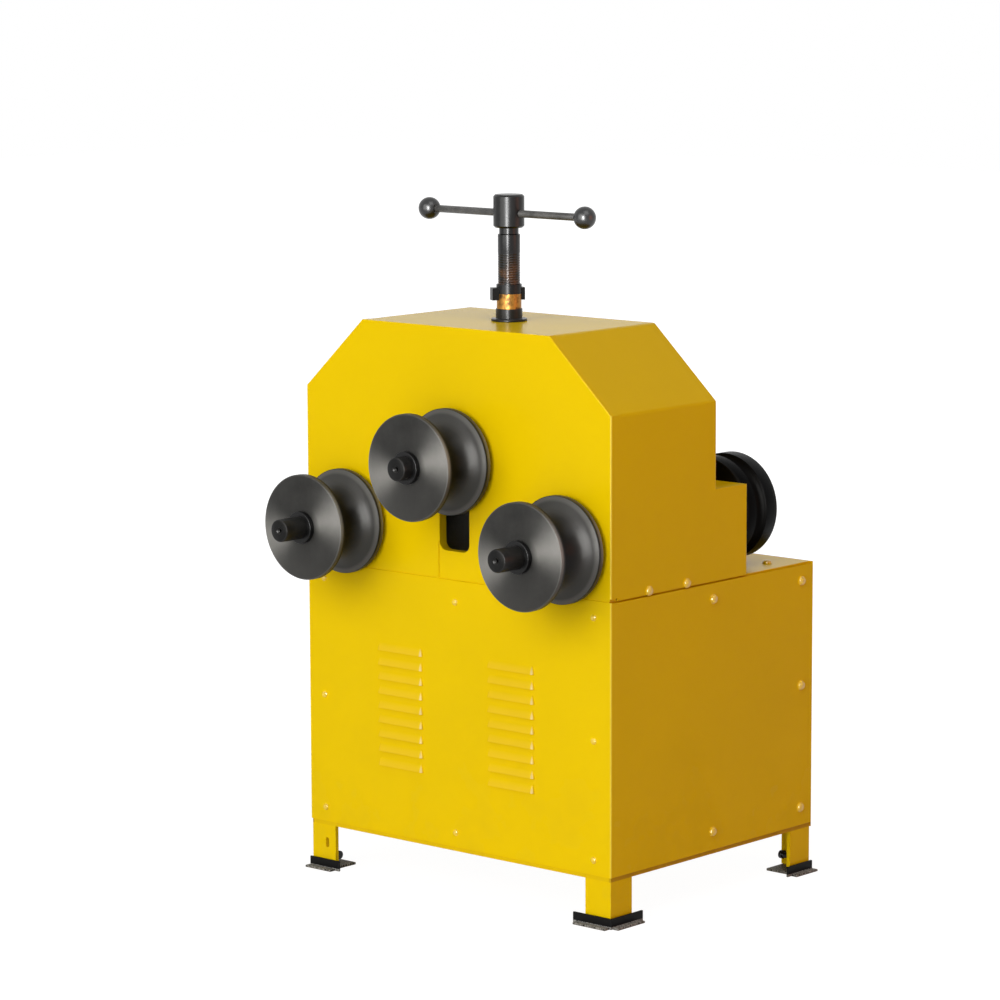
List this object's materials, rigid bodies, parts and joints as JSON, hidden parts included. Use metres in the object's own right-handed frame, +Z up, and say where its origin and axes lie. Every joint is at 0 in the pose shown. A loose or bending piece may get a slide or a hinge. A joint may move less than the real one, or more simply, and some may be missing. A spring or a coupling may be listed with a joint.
{
  "type": "ring roller",
  "caption": "Powered ring roller: yellow steel cabinet on legs, grooved bending rolls on the front face and a hand screw with a T-bar that presses the upper roll down.",
  "frame": {"origin": "on the floor, under the centre of the machine's box", "axes": "+Z up, +Y from the roll face to the back, +X to the right seen from the roll face"},
  "size_m": [0.68, 0.697, 1.126],
  "materials": {
    "yellow_paint": "gloss enamel",
    "black_shoe": "black paint, satin",
    "black_oxide": "oiled black oxide",
    "roll_steel": "turned, blackened tool steel",
    "shaft_steel": "turned steel, oiled",
    "black_rubber": "matte",
    "bronze": "turned bronze, greasy",
    "chain_steel": "oiled steel",
    "plate_steel": "ground plate",
    "cast_grey": "painted casting",
    "motor_grey": "grey enamel"
  },
  "bodies": {
    "frame": {"base_frame": "yellow_paint", "foot_front_left": "black_shoe", "foot_rear_left": "black_shoe", "foot_front_right": "black_shoe", "foot_rear_right": "black_shoe", "foot_bolts": "black_oxide", "front_panel": "yellow_paint", "left_panel": "yellow_paint", "right_panel": "yellow_paint", "rear_panel": "yellow_paint", "bottom_tray": "yellow_paint", "motor_shelf": "plate_steel", "cable_gland": "black_rubber", "deck_plate": "yellow_paint", "front_plate": "yellow_paint", "rear_bearing_plate": "plate_steel", "head_cover": "yellow_paint", "gearcase_cover": "yellow_paint", "bridge_plate": "plate_steel", "guide_rails": "plate_steel", "front_bearing_housings": "plate_steel", "rear_bearing_housings": "plate_steel", "lower_bearings": "shaft_steel", "press_nut": "bronze", "screw_seal": "black_rubber", "gearbox": "cast_grey", "motor": "motor_grey", "motor_fan_cover": "motor_grey", "control_box": "motor_grey", "drive_chain": "chain_steel", "peg_bracket": "plate_steel", "storage_pegs": "black_oxide", "spare_roll_left": "roll_steel", "spare_roll_middle": "roll_steel", "spare_roll_right": "roll_steel", "front_panel_screws": "yellow_paint", "side_panel_screws": "yellow_paint", "cover_screws": "yellow_paint"},
    "lower_left_line": {"lower_left_shaft": "shaft_steel", "lower_left_roll": "roll_steel", "lower_left_nut": "black_oxide", "lower_left_sprocket": "chain_steel"},
    "lower_right_line": {"lower_right_shaft": "shaft_steel", "lower_right_roll": "roll_steel", "lower_right_nut": "black_oxide", "lower_right_sprocket": "chain_steel"},
    "drive_line": {"output_shaft": "shaft_steel", "drive_sprocket": "chain_steel"},
    "press_slide": {"slide_block": "plate_steel", "slide_bearings": "shaft_steel", "thrust_cap": "black_oxide"},
    "upper_line": {"upper_shaft": "shaft_steel", "upper_roll": "roll_steel", "upper_nut": "black_oxide"},
    "press_screw": {"press_screw": "black_oxide", "screw_hub": "black_oxide"},
    "tommy_bar": {"tommy_bar": "black_oxide", "ball_knobs": "black_oxide"},
    "lock_ring": {"lock_ring": "black_oxide"}
  },
  "joints": [
    {"name": "lower_left_spin", "type": "hinge", "parent": "frame", "child": "lower_left_line", "pos_m": [-0.232, -0.186, 0.5925], "axis": [0, 1, 0], "continuous": true},
    {"name": "lower_right_spin", "type": "hinge", "parent": "frame", "child": "lower_right_line", "pos_m": [0.232, -0.186, 0.5925], "axis": [0, 1, 0], "continuous": true},
    {"name": "drive_spin", "type": "hinge", "parent": "frame", "child": "drive_line", "pos_m": [0, 0.108, 0.33], "axis": [0, 1, 0], "continuous": true},
    {"name": "press_travel", "type": "slide", "parent": "frame", "child": "press_slide", "axis": [0, 0, 1], "range_m": [-0.0852, 0.0452]},
    {"name": "upper_spin", "type": "hinge", "parent": "press_slide", "child": "upper_line", "pos_m": [0, -0.186, 0.71], "axis": [0, 1, 0], "continuous": true},
    {"name": "screw_turn", "type": "hinge", "parent": "press_slide", "child": "press_screw", "pos_m": [0, -0.0525, 0.9], "axis": [0, 0, 1], "range_deg": [-7650, 4050]},
    {"name": "bar_slide", "type": "slide", "parent": "press_screw", "child": "tommy_bar", "axis": [1, 0, 0], "range_m": [-0.11, 0.125]},
    {"name": "ring_turn", "type": "hinge", "parent": "frame", "child": "lock_ring", "pos_m": [0, -0.0525, 0.97], "axis": [0, 0, 1], "range_deg": [-60, 60]}
  ],
  "couplings": [
    {"joint": "lower_right_spin", "follows": "lower_left_spin", "ratio": 1},
    {"joint": "drive_spin", "follows": "lower_left_spin", "ratio": 1.3846},
    {"joint": "press_travel", "follows": "screw_turn", "m_per_rad": 0.00063662}
  ]
}
